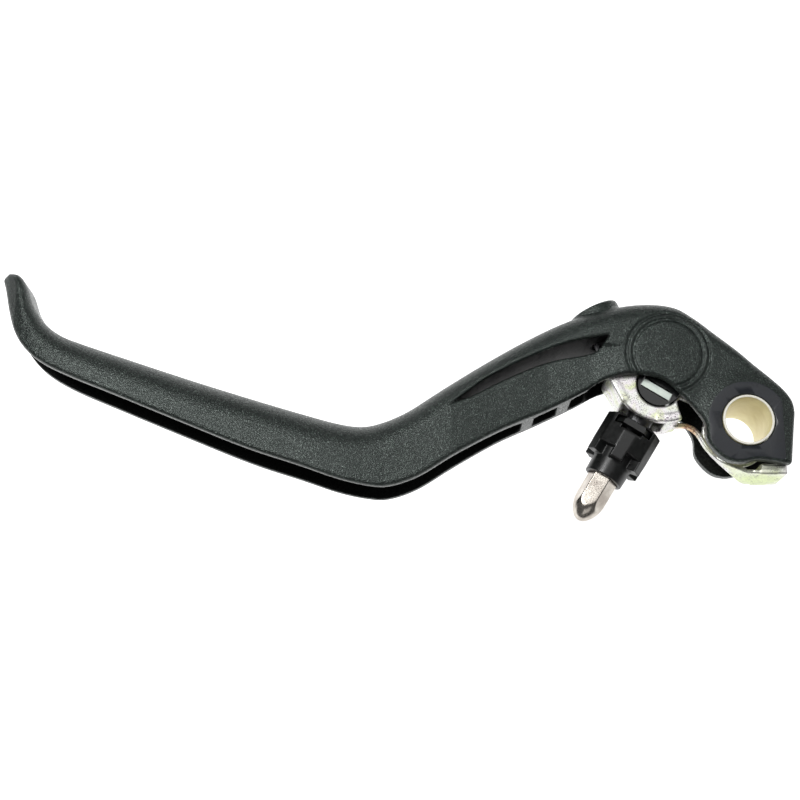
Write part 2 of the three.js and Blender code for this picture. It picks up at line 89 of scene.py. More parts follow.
def spline(points, per_span):
    """A Catmull-Rom curve through the points, whatever their number of columns."""
    p = np.asarray(points, float)
    p = np.vstack([2 * p[0] - p[1], p, 2 * p[-1] - p[-2]])
    t = np.linspace(0, 1, per_span, endpoint=False)[:, None]
    spans = [
        0.5 * (2 * b + (c - a) * t + (2 * a - 5 * b + 4 * c - d) * t**2 + (3 * b - a - 3 * c + d) * t**3)
        for a, b, c, d in zip(p, p[1:], p[2:], p[3:])
    ]
    return np.vstack(spans + [p[-2:-1]])


def distance_to(line, x, y):
    """Distance from each grid point to an open line of points."""
    best = np.full(np.broadcast(x, y).shape, 1e9)
    for (ax, ay), (bx, by) in zip(line[:-1], line[1:]):
        length2 = (bx - ax) ** 2 + (by - ay) ** 2
        if length2 < 1e-12:
            continue
        t = np.clip(((x - ax) * (bx - ax) + (y - ay) * (by - ay)) / length2, 0, 1)
        best = np.minimum(best, (x - ax - t * (bx - ax)) ** 2 + (y - ay - t * (by - ay)) ** 2)
    return np.sqrt(best)


def within(loop, x, y):
    """Even-odd test of grid points against a closed loop."""
    inside = np.zeros(np.broadcast(x, y).shape, bool)
    for (ax, ay), (bx, by) in zip(loop, np.roll(loop, -1, axis=0)):
        if ay == by:
            continue
        crosses = ((ay > y) != (by > y)) & (x < (bx - ax) * (y - ay) / (by - ay) + ax)
        inside ^= crosses
    return inside


def area_field(loop, x, y):
    """Signed distance to a closed outline in the plane."""
    loop = np.asarray(loop, float)
    away = distance_to(np.vstack([loop, loop[:1]]), x, y)
    return np.where(within(loop, x, y), -away, away)


# ---- a field's surface as a mesh -----------------------------------------------------------------
CORNERS = np.array([(i, j, k) for i in (0, 1) for j in (0, 1) for k in (0, 1)])
EDGES = [
    (a, b) for a in range(8) for b in range(a + 1, 8) if np.abs(CORNERS[a] - CORNERS[b]).sum() == 1
]


def surface(field, low, step):
    """Vertices and quads of the field's zero surface, one vertex in each cell that it crosses."""
    inside = field < 0
    cells = tuple(n - 1 for n in field.shape)
    count = np.zeros(cells, np.int8)
    for i, j, k in CORNERS:
        count += inside[i:i + cells[0], j:j + cells[1], k:k + cells[2]]
    at = np.argwhere((count > 0) & (count < 8))
    values = np.stack([field[tuple((at + corner).T)] for corner in CORNERS], axis=1)
    total = np.zeros((len(at), 3))
    crossings = np.zeros((len(at), 1))
    for a, b in EDGES:
        va, vb = values[:, a:a + 1], values[:, b:b + 1]
        crossed = (va < 0) != (vb < 0)
        t = np.where(crossed, va / np.where(crossed, va - vb, 1), 0)
        total += np.where(crossed, CORNERS[a] + t * (CORNERS[b] - CORNERS[a]), 0)
        crossings += crossed
    vertices = np.asarray(low) + (at + total / crossings) * step
    number = np.full(cells, -1, np.int64)
    number[tuple(at.T)] = np.arange(len(at))
    quads = []
    for axis in range(3):
        u, v = (axis + 1) % 3, (axis + 2) % 3
        first, second = [[slice(None)] * 3 for _ in range(2)]
        first[axis], second[axis] = slice(0, -1), slice(1, None)
        flip = inside[tuple(first)] != inside[tuple(second)]
        spots = np.argwhere(flip)
        spots = spots[(spots[:, u] > 0) & (spots[:, v] > 0)]
        spots = spots[(spots[:, u] < cells[u]) & (spots[:, v] < cells[v])]
        around = []
        for du, dv in ((-1, -1), (0, -1), (0, 0), (-1, 0)):
            near = spots.copy()
            near[:, u] += du
            near[:, v] += dv
            around.append(number[tuple(near.T)])
        quad = np.stack(around, axis=1)
        leaving = inside[tuple(first)][tuple(spots.T)]
        quads.append(np.where(leaving[:, None], quad, quad[:, ::-1]))
    return vertices, np.vstack(quads)


def grid(low, high, step):
    """Three broadcastable axes over a box."""
    axes = [np.arange(a, b + step, step) for a, b in zip(low, high)]
    return axes[0][:, None, None], axes[1][None, :, None], axes[2][None, None, :]


def mesh_object(name, vertices, faces, matrix=None):
    """A smooth-shaded object from millimetre vertices, placed by a matrix in millimetres."""
    if matrix is not None:
        vertices = vertices @ np.array(matrix.to_3x3()).T + np.array(matrix.translation)
    mesh = bpy.data.meshes.new(name)
    mesh.from_pydata((vertices * MM).tolist(), [], [list(map(int, face)) for face in faces])
    mesh.validate()
    mesh.shade_smooth()
    piece = bpy.data.objects.new(name, mesh)
    bpy.context.scene.collection.objects.link(piece)
    return piece


def frame_at(point, degrees):
    """Local Z along the angle in the mid-plane, local Y along the pivot axis."""
    angle = math.radians(degrees)
    along = Vector((math.cos(angle), math.sin(angle), 0))
    up = Vector((0, 0, 1))
    across = up.cross(along)
    matrix = Matrix((across, up, along)).transposed().to_4x4()
    matrix.translation = (*point, 0)
    return matrix


SCREW_FRAME = frame_at(BOSS_TOP, BOSS_ANGLE)
ROD_FRAME = frame_at(TRUNNION, ROD_ANGLE)


# ---- materials -----------------------------------------------------------------------------------
# Middle and reach of the zinc plate's tints, round the bend of its neck (with painted reflection streaks)
# and under its foot.
NECK_BEND, NECK_BEND_REACH = (-9.3, -0.3, 0), 2.6
FOOT_MIDDLE, FOOT_REACH = (3.0, -9.6, 0), 6.0
TINT_CORE = 0.45  # share of the reach within which a tint is at full strength


class Shader:
    """A node material with a Principled shader, built with a few short calls."""

    def __init__(self, name, roughness, metallic=0.0):
        self.material = bpy.data.materials.new(name)
        self.material.use_nodes = True
        self.nodes = self.material.node_tree.nodes
        self.links = self.material.node_tree.links
        self.main = self.nodes["Principled BSDF"]
        self.main.inputs["Roughness"].default_value = roughness
        self.main.inputs["Metallic"].default_value = metallic
        self.place = self.nodes.new("ShaderNodeTexCoord").outputs["Object"]

    def noise(self, grain_mm, detail=2.0, stretch=(1, 1, 1), roughness=0.5):
        """Noise whose features are about the grain's size."""
        mapping = self.nodes.new("ShaderNodeMapping")
        mapping.inputs["Scale"].default_value = stretch
        self.links.new(self.place, mapping.inputs["Vector"])
        noise = self.nodes.new("ShaderNodeTexNoise")
        noise.inputs["Scale"].default_value = 1 / (grain_mm * MM)
        noise.inputs["Detail"].default_value = detail
        noise.inputs["Roughness"].default_value = roughness
        self.links.new(mapping.outputs["Vector"], noise.inputs["Vector"])
        return noise.outputs["Fac"]

    def ramp(self, value, *stops):
        """A colour ramp; each stop is (position, grey or (r, g, b))."""
        ramp = self.nodes.new("ShaderNodeValToRGB")
        elements = ramp.color_ramp.elements
        while len(elements) < len(stops):
            elements.new(0.5)
        for element, (position, colour) in zip(elements, stops):
            element.position = position
            rgb = colour if isinstance(colour, tuple) else (colour,) * 3
            element.color = (*rgb, 1)
        self.links.new(value, ramp.inputs["Fac"])
        return ramp.outputs["Color"]

    def mix(self, factor, first, second):
        """A colour mix: factor is an output, the others outputs or colours."""
        node = self.nodes.new("ShaderNodeMix")
        node.data_type = "RGBA"
        self.links.new(factor, node.inputs["Factor"])
        for socket, value in (("A", first), ("B", second)):
            target = [s for s in node.inputs if s.name == socket and s.type == "RGBA"][0]
            if isinstance(value, tuple):
                target.default_value = (*value, 1)
            else:
                self.links.new(value, target)
        return [s for s in node.outputs if s.type == "RGBA"][0]

    def near(self, point, radius_mm):
        """One round a point of the frame, in millimetres, fading to nought at the radius."""
        distance = self.nodes.new("ShaderNodeVectorMath")
        distance.operation = "DISTANCE"
        self.links.new(self.place, distance.inputs[0])
        distance.inputs[1].default_value = tuple(c * MM for c in point)
        fade = self.nodes.new("ShaderNodeMapRange")
        fade.inputs["From Min"].default_value = radius_mm * MM
        fade.inputs["From Max"].default_value = radius_mm * TINT_CORE * MM
        self.links.new(distance.outputs["Value"], fade.inputs["Value"])
        return fade.outputs["Result"]

    def colour(self, output):
        self.links.new(output, self.main.inputs["Base Color"])

    def roughness(self, output):
        self.links.new(output, self.main.inputs["Roughness"])

    def bump(self, height, depth_mm, strength=1.0):
        """Adds a bump on top of those made before it."""
        bump = self.nodes.new("ShaderNodeBump")
        bump.inputs["Strength"].default_value = strength
        bump.inputs["Distance"].default_value = depth_mm * MM
        self.links.new(height, bump.inputs["Height"])
        if self.main.inputs["Normal"].is_linked:
            earlier = self.main.inputs["Normal"].links[0].from_socket
            self.links.new(earlier, bump.inputs["Normal"])
        self.links.new(bump.outputs["Normal"], self.main.inputs["Normal"])


def textured_coat():
    """The blade's black coat: dark, with grains that stand up paler and shinier."""
    shader = Shader("textured_coat", 0.33)
    grain = shader.noise(0.24, 2.0, roughness=0.6)
    shader.colour(shader.ramp(
        grain, (0.40, (0.002, 0.003, 0.003)), (0.55, (0.008, 0.011, 0.010)), (0.68, (0.062, 0.082, 0.070)),
    ))
    shader.main.inputs["Specular IOR Level"].default_value = 0.56
    shader.main.inputs["Specular Tint"].default_value = (0.90, 1.0, 0.95, 1)
    shader.roughness(shader.ramp(grain, (0.42, 0.46), (0.60, 0.19)))
    shader.bump(grain, 0.12)
    shader.bump(shader.noise(0.9, 2.0), 0.04)
    return shader.material


def painted_hollow_shade():
    """Painted shade: a darker, duller coat on the walls inside the pockets and the slot, standing in for
    the shade there.
    """
    shader = Shader("painted_hollow_shade", 0.6)
    grain = shader.noise(0.3, 2.0)
    shader.colour(shader.ramp(grain, (0.4, (0.002, 0.002, 0.002)), (0.65, (0.010, 0.012, 0.011))))
    shader.main.inputs["Specular IOR Level"].default_value = 0.12
    shader.bump(grain, 0.06)
    return shader.material


def machined_coat():
    """The smooth dark face of the pivot ears, slightly smeared."""
    shader = Shader("machined_coat", 0.42)
    smear = shader.noise(1.5, 4.0)
    shader.colour(shader.ramp(smear, (0.3, (0.010, 0.012, 0.016)), (0.7, (0.016, 0.019, 0.025))))
    shader.roughness(shader.ramp(smear, (0.3, 0.36), (0.7, 0.48)))
    shader.bump(shader.noise(0.25, 2.0), 0.008)
    return shader.material


def lip_painted_highlight():
    """The lip along the lower edge, pale grey in patches: a painted highlight line."""
    shader = Shader("lip_painted_highlight", 0.3)
    highlight_patches = shader.noise(0.8, 3.0)
    # The pale grey is painted highlight, standing in for the bright line along the lower edge.
    shader.colour(shader.ramp(highlight_patches, (0.35, (0.03, 0.034, 0.03)), (0.6, (0.24, 0.25, 0.23))))
    shader.bump(shader.noise(0.2, 2.0), 0.01)
    return shader.material


def zinc_plate():
    """The rocker's plate: broad tints with clusters of dark specks, and painted reflection streaks at the
    bend of its neck.
    """
    shader = Shader("zinc_plate", 0.34, 0.85)
    broad = shader.noise(4.0, 3.0)
    specks = shader.noise(0.22, 4.0, roughness=0.65)
    clusters = shader.noise(2.4, 2.0)
    tint = shader.ramp(
        broad, (0.36, (0.78, 0.80, 0.62)), (0.46, (0.84, 0.86, 0.80)), (0.56, (0.88, 0.84, 0.86)),
        (0.66, (0.74, 0.80, 0.50)), (0.74, (0.84, 0.60, 0.46)),
    )
    gate = shader.nodes.new("ShaderNodeMath")
    gate.operation = "MULTIPLY"
    shader.links.new(shader.ramp(specks, (0.40, 1.0), (0.47, 0.0)), gate.inputs[0])
    shader.links.new(shader.ramp(clusters, (0.35, 0.15), (0.6, 1.0)), gate.inputs[1])
    # Straw and orange-brown tints where the plate is bent, striped light and dark as painted reflection
    # streaks, and yellow-green under the foot.
    reflection_streaks = shader.noise(0.5, 1.0, stretch=(1, 1, 0.1))
    bend = shader.near(NECK_BEND, NECK_BEND_REACH)
    foot = shader.near(FOOT_MIDDLE, FOOT_REACH)
    # The light and dark stripes here are painted reflection streaks over the bend's real orange-brown tint.
    copper_tint_and_reflection = shader.ramp(
        reflection_streaks, (0.38, (0.30, 0.13, 0.06)), (0.5, (0.78, 0.62, 0.34)), (0.6, (0.62, 0.34, 0.18)),
    )
    tint = shader.mix(foot, tint, (0.70, 0.80, 0.42))
    tint = shader.mix(bend, tint, copper_tint_and_reflection)
    shader.colour(shader.mix(gate.outputs[0], tint, (0.16, 0.12, 0.17)))
    shader.roughness(shader.ramp(specks, (0.3, 0.50), (0.7, 0.30)))
    shader.bump(specks, 0.012)
    return shader.material


def cream_polymer():
    """The bush: cream, and paler at both rims."""
    shader = Shader("cream_polymer", 0.38)
    cloud = shader.noise(1.6, 3.0)
    body = shader.ramp(cloud, (0.3, (0.76, 0.68, 0.36)), (0.7, (0.86, 0.79, 0.47)))
    split = shader.nodes.new("ShaderNodeSeparateXYZ")
    shader.links.new(shader.place, split.inputs["Vector"])
    height = shader.nodes.new("ShaderNodeMath")
    height.operation = "ABSOLUTE"
    shader.links.new(split.outputs["Z"], height.inputs[0])
    rim = shader.nodes.new("ShaderNodeMapRange")
    rim.inputs["From Min"].default_value = (BUSH_HALF - 0.25) * MM
    rim.inputs["From Max"].default_value = (BUSH_HALF - 0.05) * MM
    shader.links.new(height.outputs[0], rim.inputs["Value"])
    shader.colour(shader.mix(rim.outputs["Result"], body, (0.92, 0.90, 0.80)))
    shader.bump(shader.noise(0.3, 2.0), 0.006)
    return shader.material


def black_plastic(name, level, roughness):
    """Black with a slight cloud; level is about its brightness."""
    shader = Shader(name, roughness)
    cloud = shader.noise(0.8, 3.0)
    dark = (0.7 * level, 0.78 * level, 0.76 * level)
    light = (1.2 * level, 1.35 * level, 1.3 * level)
    shader.colour(shader.ramp(cloud, (0.3, dark), (0.7, light)))
    shader.roughness(shader.ramp(cloud, (0.3, roughness - 0.06), (0.7, roughness + 0.06)))
    shader.bump(shader.noise(0.12, 2.0), 0.006)
    return shader.material


def turned_steel(name, light, dark, roughness, mark_depth=0.002):
    """Steel with fine marks and a few stains."""
    shader = Shader(name, roughness, 1.0)
    stain = shader.noise(2.2, 3.0)
    marks = shader.noise(0.2, 3.0)
    shader.colour(shader.ramp(stain, (0.35, dark), (0.65, light)))
    shader.roughness(shader.ramp(marks, (0.3, roughness - 0.06), (0.7, roughness + 0.08)))
    shader.bump(marks, mark_depth)
    return shader.material


def plain_polymer(name, colour, roughness):
    """One colour with a slight darker cloud."""
    shader = Shader(name, roughness)
    cloud = shader.noise(0.7, 2.0)
    shader.colour(shader.ramp(cloud, (0.3, tuple(0.85 * c for c in colour)), (0.7, colour)))
    shader.bump(shader.noise(0.15, 2.0), 0.005)
    return shader.material


COAT = textured_coat()
HOLLOW_SHADE = painted_hollow_shade()
MACHINED = machined_coat()
LIP_HIGHLIGHT = lip_painted_highlight()
ZINC = zinc_plate()
PLAIN_ZINC = turned_steel("plain_zinc", (0.62, 0.68, 0.62), (0.48, 0.54, 0.50), 0.34)
CREAM = cream_polymer()
SATIN = black_plastic("satin_plastic", 0.006, 0.33)
GLOSS = black_plastic("gloss_plastic", 0.008, 0.16)
ROD_STEEL = turned_steel("rod_steel", (0.64, 0.60, 0.54), (0.40, 0.36, 0.32), 0.22, mark_depth=0.0006)
DARK_STEEL = turned_steel("dark_steel", (0.10, 0.10, 0.105), (0.06, 0.06, 0.065), 0.34)
NYLON = plain_polymer("nylon", (0.68, 0.66, 0.56), 0.45)
RUBBER = plain_polymer("rubber", (0.014, 0.014, 0.014), 0.7)


def finish_piece(piece, body, node, slot, *materials):
    """Gives a piece its materials and its place in the frame."""
    for material in materials:
        piece.data.materials.append(material)
    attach(piece, body)
    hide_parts(node)
    return piece


# ---- camera, light and floor ---------------------------------------------------------------------
CAMERA_TILT = 15.6  # degrees from straight down
CAMERA_AIM = Vector((-59.8, 5.46, 0))
CAMERA_AWAY = 263.0
LENS = 66.9


def camera():
    tilt = math.radians(CAMERA_TILT)
    data = bpy.data.cameras.new("camera")
    data.lens = LENS
    data.sensor_width = 36
    data.clip_start = 0.01
    holder = bpy.data.objects.new("camera", data)
    holder.location = (CAMERA_AIM + CAMERA_AWAY * Vector((0, -math.sin(tilt), math.cos(tilt)))) * MM
    holder.rotation_euler = (tilt, 0, 0)
    bpy.context.scene.collection.objects.link(holder)
    bpy.context.scene.camera = holder


def softbox(name, centre, aim, width, height, power):
    """An area light facing a point; lengths in millimetres, power in watts."""
    data = bpy.data.lights.new(name, "AREA")
    data.shape = "RECTANGLE"
    data.size, data.size_y = width * MM, height * MM
    data.energy = power
    light = bpy.data.objects.new(name, data)
    light.location = Vector(centre) * MM
    direction = (Vector(aim) - Vector(centre)).normalized()
    light.rotation_euler = direction.to_track_quat("-Z", "Y").to_euler()
    bpy.context.scene.collection.objects.link(light)


FLOOR_LEVEL = -60.0
FLOOR_SIZE = 1.5  # metres
WORLD_STRENGTH = 0.10
FLOOR_GLOW = 0.78


def studio():
    """A white floor that glows, one strong softbox and three weak ones."""
    world = bpy.data.worlds.new("studio")
    world.use_nodes = True
    background = world.node_tree.nodes["Background"]
    background.inputs["Color"].default_value = (1, 1, 1, 1)
    background.inputs["Strength"].default_value = WORLD_STRENGTH
    bpy.context.scene.world = world
    bpy.context.scene.view_settings.view_transform = "Standard"
    softbox("key", (-190, 97, 330), (-110, 20, 0), 170, 110, 1.0)
    softbox("overhead", (70, 110, 330), (0, 20, 0), 220, 200, 0.18)
    softbox("fill", (-60, -320, 260), (-60, 0, 0), 300, 160, 0.12)
    softbox("side", (220, 60, 160), (-20, 0, 0), 120, 160, 0.07)
    floor = bmesh.new()
    bmesh.ops.create_grid(floor, x_segments=1, y_segments=1, size=FLOOR_SIZE)
    mesh = bpy.data.meshes.new("floor")
    floor.to_mesh(mesh)
    floor.free()
    sheet = bpy.data.objects.new("floor", mesh)
    sheet.location = (CAMERA_AIM.x * MM, 0, FLOOR_LEVEL * MM)
    paper = Shader("paper", 0.9)
    paper.colour(paper.ramp(paper.noise(40.0, 2.0), (0.3, 0.93), (0.7, 0.96)))
    paper.main.inputs["Emission Color"].default_value = (1, 1, 1, 1)
    paper.main.inputs["Emission Strength"].default_value = FLOOR_GLOW
    mesh.materials.append(paper.material)
    bpy.context.scene.collection.objects.link(sheet)


# ---- blade ---------------------------------------------------------------------------------------
# Sections from the tip to the pivot end: top point, matching lower point, half width, and the
# radius that rounds the top rail.
BLADE_SECTIONS = [
    ((-129.9, 28.4), (-131.1, 27.6), 2.4, 0.9), ((-127.9, 27.7), (-130.3, 24.9), 3.6, 1.6),
    ((-126.4, 25.7), (-129.3, 21.1), 4.6, 2.4), ((-124.9, 21.9), (-128.0, 17.4), 5.3, 3.2),
    ((-122.6, 18.6), (-126.0, 14.1), 5.9, 3.8), ((-119.6, 16.4), (-122.9, 11.2), 6.4, 4.4),
    ((-115.5, 14.8), (-118.0, 8.5), 6.9, 5.0), ((-106.6, 11.8), (-109.0, 4.7), 7.2, 5.6),
    ((-96.0, 8.3), (-98.0, 0.1), 7.2, 6.0), ((-85.0, 4.8), (-86.5, -4.6), 7.2, 6.0),
    ((-76.0, 2.1), (-77.0, -7.8), 7.1, 6.0), ((-70.5, 0.6), (-71.0, -9.9), 6.9, 5.8),
    ((-66.5, 0.1), (-66.0, -11.1), 6.6, 5.6), ((-63.0, 0.8), (-61.8, -11.3), 6.4, 5.4),
    ((-58.5, 2.8), (-56.6, -9.5), 6.3, 5.2), ((-52.5, 6.7), (-50.3, -5.6), 6.3, 5.0),
    ((-45.5, 11.1), (-42.5, -1.3), 6.2, 4.8), ((-38.0, 15.4), (-34.8, 2.1), 6.2, 4.6),
    ((-30.5, 19.0), (-28.5, 5.2), 6.3, 4.4), ((-23.5, 21.2), (-24.0, 7.7), 6.5, 4.2),
    ((-17.0, 22.1), (-19.5, 8.6), 6.6, 4.0), ((-11.5, 21.5), (-14.3, 7.7), 6.6, 3.6),
    ((-8.0, 19.4), (-10.5, 4.2), 6.4, 3.0), ((-4.5, 16.4), (-7.5, 0.0), 6.3, 2.4),
    ((-1.0, 13.4), (-7.1, -3.6), 6.2, 2.0), ((1.8, 10.8), (-4.6, -6.6), 6.2, 2.0),
    ((4.4, 8.1), (-1.8, -7.4), 6.2, 1.2), ((6.7, 5.6), (1.4, -6.9), 6.2, 0.8),
    ((8.0, 3.5), (5.2, -7.4), 6.1, 0.7), ((8.3, 1.6), (7.1, -7.7), 6.0, 0.6),
]
LOWER_EDGE = 0.6  # radius of the lower edges
LIP_RADIUS = 0.2
LIP_SPAN = (0.03, 0.56)  # share of the lower edge that the lip runs along
LIP_INSET = LOWER_EDGE + 0.1  # from the wall's outer side
LIP_RISE = 0.18  # of the lip's middle above the lower edge, into the wall

FINGER_POCKET = [
    (-129.6, 25.2), (-128.1, 21.6), (-126.3, 18.0), (-123.9, 15.2), (-121.0, 13.3), (-117.0, 11.9),
    (-106.6, 8.4), (-89.4, 2.8), (-76.0, -1.4), (-69.0, -3.2), (-64.0, -3.0), (-58.0, -1.0), (-50.5, 1.8),
    (-44.2, 4.4), (-38.6, 6.6), (-38.6, -4.0), (-48.0, -9.0), (-58.0, -14.0), (-70.0, -14.0),
    (-90.0, -7.0), (-110.0, 1.0), (-126.0, 9.0), (-132.5, 16.0), (-133.0, 24.0),
]
FINGER_POCKET_HALVES = [
    (-133, 1.2), (-130, 1.9), (-128, 3.2), (-118, 4.8), (-106, 5.4), (-72, 5.4), (-60, 4.6),
    (-50, 4.2), (-38, 2.8),
]
WAIST_POCKET = [(-36.3, 7.2), (-32.3, 8.4), (-32.3, 0.0), (-36.3, -2.0)]
END_POCKET = [(-29.8, 9.0), (-25.0, 10.0), (-25.0, 2.0), (-29.8, 1.0)]
WAIST_POCKET_HALF = 2.7
END_POCKET_HALF = 3.4
ROCKER_ROOM = [
    (-27.4, 0.0), (-26.8, 8.0), (-26.0, 11.0), (-23.8, 13.2), (-18.0, 15.6), (-13.0, 15.6), (-7.5, 13.4),
    (-2.5, 9.4), (2.5, 8.0), (6.0, 4.6), (9.0, 2.6), (12.0, -12.0), (-12.0, -12.0),
]
ROOM_HALVES = [(-27.4, 3.8), (-25.8, CAVITY_HALF)]
SLOT_UPPER = [(-50.8, 3.3), (-47.7, 5.7), (-44.2, 8.2), (-37.2, 11.7), (-30.2, 14.3), (-23.2, 15.6)]
SLOT_LOWER = [(-24.6, 13.6), (-26.6, 12.4), (-33.7, 11.1), (-40.7, 8.2), (-47.7, 4.5)]
PANEL_AREA = [
    (-54.0, 1.0), (-45.0, 6.9), (-37.0, 10.7), (-30.0, 12.9), (-24.6, 13.9), (-20.5, 13.6), (-18.0, 4.0),
    (-34.0, -4.0), (-54.0, -12.0),
]
PANEL_HALVES = [(-53, 6.5), (-43, 5.5), (-34, 4.9), (-26.4, 5.3), (-24.8, 5.75), (-19.5, 6.7)]
BADGE = (-13.1, 12.2)
BADGE_GROOVES = ((6.1, 0.55), (7.2, 0.5))  # radius and width of each groove
GROOVE_DEPTH = 0.38
EAR_FACE_RADIUS = 6.75
EAR_FACE_RIGHT = 5.8
EAR_SLOPE = 0.28  # fall of the side for each millimetre away from the machined face
EAR_BLEND = 0.3
PANEL_FADE = 0.9  # distance over which the sunk panel fades in
WIDEST_HALF = EAR_HALF + 0.2

BOSS_DEPTH = 7.4
BOSS_EDGE = 0.5
BOSS_BLEND = 0.5
SCREW_BORE_DEPTH = 12
SCREW_BORE_RIM = 0.4
BUSH_SEAT = 0.05  # added to the bush's radius for the bore in the ears
FINGER_POCKET_CORNER = 1.4
POCKET_CORNER = 0.8
POCKET_RIM = 0.3
SLOT_RIM = 0.45

# Which faces of the blade get which material.
FACE_MARGIN = 0.2  # past the outline of the ears' machined face
FACE_SNAP = 0.03  # vertices less than this below the machined face are moved onto it
FACE_DEPTH = 0.02  # and faces whose middle is less than this below it count as machined
WALL_MARGIN = 0.15  # past the outline and the width of a hollow
SLOT_TEXTURED = 0.7  # outermost strip of the slot's wall, which keeps the textured coat
COAT_INDEX, MACHINED_INDEX, LIP_HIGHLIGHT_INDEX, HOLLOW_SHADE_INDEX = range(4)
BLADE_FACES_KEPT = 0.5


def by_x(pairs, x):
    """Reads a table of (x, value) pairs at x."""
    return np.interp(x, *np.transpose(pairs))


def ear_face_field(x, y):
    """In the plane: negative over the flat machined face of the pivot ears."""
    disc = np.hypot(x, y) - EAR_FACE_RADIUS
    below = np.maximum(y, -x - EAR_FACE_RADIUS)
    return np.maximum(np.minimum(disc, below), x - EAR_FACE_RIGHT)


def blade_side(x, y):
    """Half the blade's width at each point of the plane."""
    middle_x = [(top[0] + bottom[0]) / 2 for top, bottom, _, _ in BLADE_SECTIONS]
    half = np.interp(x, middle_x, [half for _, _, half, _ in BLADE_SECTIONS]) + 0 * y
    panel = np.clip(0.4 - area_field(PANEL_AREA, x, y) / PANEL_FADE, 0, 1)
    panel = panel * panel * (3 - 2 * panel)
    half = half + panel * np.minimum(by_x(PANEL_HALVES, x) - half, 0)
    ear = EAR_HALF - EAR_SLOPE * np.maximum(ear_face_field(x, y), 0)
    half = smooth_max(half, ear, EAR_BLEND)
    from_badge = np.hypot(x - BADGE[0], y - BADGE[1])
    for radius, width in BADGE_GROOVES:
        half = half - GROOVE_DEPTH * np.exp(-(((from_badge - radius) / (width / 2)) ** 2))
    return np.minimum(half, WIDEST_HALF)


def slot_outline():
    return np.vstack([spline(SLOT_UPPER, 6), spline(SLOT_LOWER, 6)])


def blade_field(x, y, z):
    """The whole blade: its outline with rounded edges, the boss, and then everything cut from them."""
    sections = BLADE_SECTIONS
    top = spline([top for top, _, _, _ in sections], 6)
    bottom = spline([bottom for _, bottom, _, _ in sections], 6)
    top = np.vstack([bottom[:1], top, bottom[-1:]])
    flat_x, flat_y = x[:, :, 0], y[:, :, 0]
    inside = within(np.vstack([top, bottom[::-1]]), flat_x, flat_y)
    to_top, to_bottom = distance_to(top, flat_x, flat_y), distance_to(bottom, flat_x, flat_y)
    nearer_top = to_top <= to_bottom
    over = np.where(inside | ~nearer_top, -to_top, to_top)[:, :, None]
    under = np.where(inside | nearer_top, -to_bottom, to_bottom)[:, :, None]
    rounding = np.interp(flat_x, [s[0][0] for s in sections], [s[3] for s in sections])[:, :, None]
    side = np.abs(z) - blade_side(flat_x, flat_y)[:, :, None]
    body = meet(meet(over, side, rounding), under, LOWER_EDGE)

    def hollow(outline, half, radius):
        area = area_field(outline, flat_x, flat_y)[:, :, None]
        return meet(area, np.abs(z) - half, radius)

    angle = math.radians(BOSS_ANGLE)
    away_x, away_y = x - BOSS_TOP[0], y - BOSS_TOP[1]
    along = away_x * math.cos(angle) + away_y * math.sin(angle)
    radial = np.hypot(away_y * math.cos(angle) - away_x * math.sin(angle), z)
    boss = np.maximum(meet(radial - BOSS_RADIUS, -along, BOSS_EDGE), along - BOSS_DEPTH)
    body = smooth_min(body, boss, BOSS_BLEND)
    finger_half = by_x(FINGER_POCKET_HALVES, flat_x)[:, :, None]
    room_half = by_x(ROOM_HALVES, flat_x)[:, :, None]
    for tool in (
        hollow(FINGER_POCKET, finger_half, FINGER_POCKET_CORNER),
        hollow(WAIST_POCKET, WAIST_POCKET_HALF, POCKET_CORNER),
        hollow(END_POCKET, END_POCKET_HALF, POCKET_CORNER),
        hollow(ROCKER_ROOM, room_half, POCKET_CORNER),
    ):
        body = cut(body, tool, POCKET_RIM)
    body = cut(body, area_field(slot_outline(), flat_x, flat_y)[:, :, None] + 0 * z, SLOT_RIM)
    body = cut(body, np.maximum(radial - SCREW_BORE, along - SCREW_BORE_DEPTH), SCREW_BORE_RIM)
    bore = np.hypot(x, y) - BUSH_RADIUS - BUSH_SEAT
    return np.maximum(body, -bore)


def swept(path, normals, radius, sides=10):
    """A closed round rod along a path in space, tapering to nothing at both ends."""
    share = np.linspace(0, 1, len(path))
    radii = radius * np.minimum(1, np.minimum(share, 1 - share) * 12 + 0.15)
    angles = np.linspace(0, 2 * math.pi, sides, endpoint=False)
    rings = [
        point + r * (np.outer(np.cos(angles), normal) + np.outer(np.sin(angles), (0, 0, 1)))
        for point, normal, r in zip(path, normals, radii)
    ]
    n = len(path)
    faces = [
        (i * sides + j, i * sides + (j + 1) % sides, (i + 1) * sides + (j + 1) % sides, (i + 1) * sides + j)
        for i in range(n - 1) for j in range(sides)
    ]
    ends = [tuple(range(sides))[::-1], tuple(range((n - 1) * sides, n * sides))]
    return np.vstack(rings), faces + ends


def lip(sign):
    """The thin lip along the lower edge of one wall of the finger part."""
    line = spline([bottom for _, bottom, _, _ in BLADE_SECTIONS], 8)
    first, last = (int(share * len(line)) for share in LIP_SPAN)
    line = line[first:last]
    halves = blade_side(line[:, 0], line[:, 1])
    tangent = np.gradient(line, axis=0)
    tangent /= np.linalg.norm(tangent, axis=1)[:, None]
    normal = np.stack([-tangent[:, 1], tangent[:, 0], 0 * halves], axis=1)
    path = np.stack([line[:, 0], line[:, 1], sign * (halves - LIP_INSET)], axis=1) + LIP_RISE * normal
    return swept(path, normal, LIP_RADIUS)


def joined(*meshes):
    """One list of vertices and faces from several."""
    vertices, faces, count = [], [], 0
    for points, polygons in meshes:
        vertices.append(points)
        faces += [tuple(int(i) + count for i in polygon) for polygon in polygons]
        count += len(points)
    return np.vstack(vertices), faces


